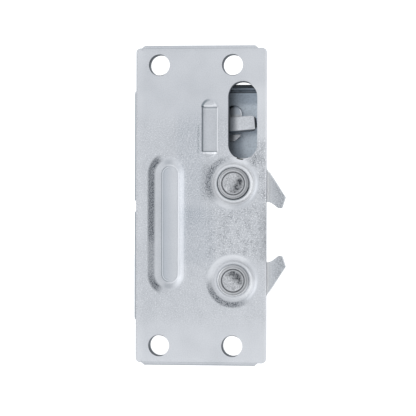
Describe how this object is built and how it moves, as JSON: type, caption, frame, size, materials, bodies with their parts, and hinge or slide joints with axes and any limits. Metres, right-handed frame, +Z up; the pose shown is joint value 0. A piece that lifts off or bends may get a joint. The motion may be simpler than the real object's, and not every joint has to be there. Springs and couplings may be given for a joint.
{
  "type": "car door latch",
  "caption": "Flat door latch: a zinc-plated face plate with pressed rib and dishes, a slot with a release tab, and two geared claws that hook from one side.",
  "frame": {"origin": "centre of the four bolt holes, on the face plate's mounting face", "axes": "+X right, towards the side where the claws stand out; +Y into the door, from the mounting face to the case; +Z up"},
  "size_m": [0.0644, 0.021, 0.137],
  "materials": {
    "zinc_plate": "bright zinc plating, satin",
    "case_sheet": "zinc plating with a bluish tone, satin",
    "rivet_steel": "orbitally formed steel, bright",
    "spacer_steel": "turned steel",
    "claw_steel": "fine-blanked and tumbled steel, zinc plated",
    "pawl_steel": "fine-blanked steel, zinc plated",
    "lever_steel": "bright zinc plating",
    "spring_steel": "oiled spring wire",
    "bronze": "rolled bronze",
    "nylon": "natural nylon",
    "rubber": "moulded rubber"
  },
  "bodies": {
    "root": {"front_plate": "zinc_plate", "back_housing": "case_sheet", "upper_pivot_rivet": "rivet_steel", "lower_pivot_rivet": "rivet_steel", "pivot_spacers": "spacer_steel", "claw_washers": "bronze", "upper_claw_spring": "spring_steel", "lower_claw_spring": "spring_steel", "spring_posts": "rivet_steel", "pawl_pivot_rivet": "rivet_steel", "pawl_spacer": "spacer_steel", "lever_spring": "spring_steel", "claw_bumper": "rubber", "bumper_rivet": "rivet_steel"},
    "upper_claw_body": {"upper_claw": "claw_steel", "upper_claw_bush": "nylon"},
    "lower_claw_body": {"lower_claw": "claw_steel", "lower_claw_bush": "nylon"},
    "pawl_body": {"pawl": "pawl_steel", "pawl_bush": "nylon"},
    "lever_body": {"release_lever": "lever_steel"}
  },
  "joints": [
    {"name": "release_lever_turn", "type": "hinge", "parent": "root", "child": "lever_body", "pos_m": [-0.012, 0, 0.032], "axis": [0, 1, 0], "range_deg": [0, 15], "stiffness_Nm_per_rad": 0.2, "springref_deg": -5.73, "deforming": ["lever_spring"]},
    {"name": "pawl_turn", "type": "hinge", "parent": "root", "child": "pawl_body", "pos_m": [-0.012, 0, 0.032], "axis": [0, 1, 0], "range_deg": [0, 15]},
    {"name": "upper_claw_turn", "type": "hinge", "parent": "root", "child": "upper_claw_body", "pos_m": [0.016, 0, 0.0094], "axis": [0, 1, 0], "range_deg": [-18, 0], "deforming": ["upper_claw_spring"]},
    {"name": "lower_claw_turn", "type": "hinge", "parent": "root", "child": "lower_claw_body", "pos_m": [0.016, 0, -0.0321], "axis": [0, 1, 0], "range_deg": [0, 18], "deforming": ["lower_claw_spring"]}
  ],
  "couplings": [
    {"joint": "pawl_turn", "follows": "release_lever_turn", "ratio": 1},
    {"joint": "upper_claw_turn", "follows": "release_lever_turn", "ratio": -1.2},
    {"joint": "lower_claw_turn", "follows": "release_lever_turn", "ratio": 1.2}
  ]
}
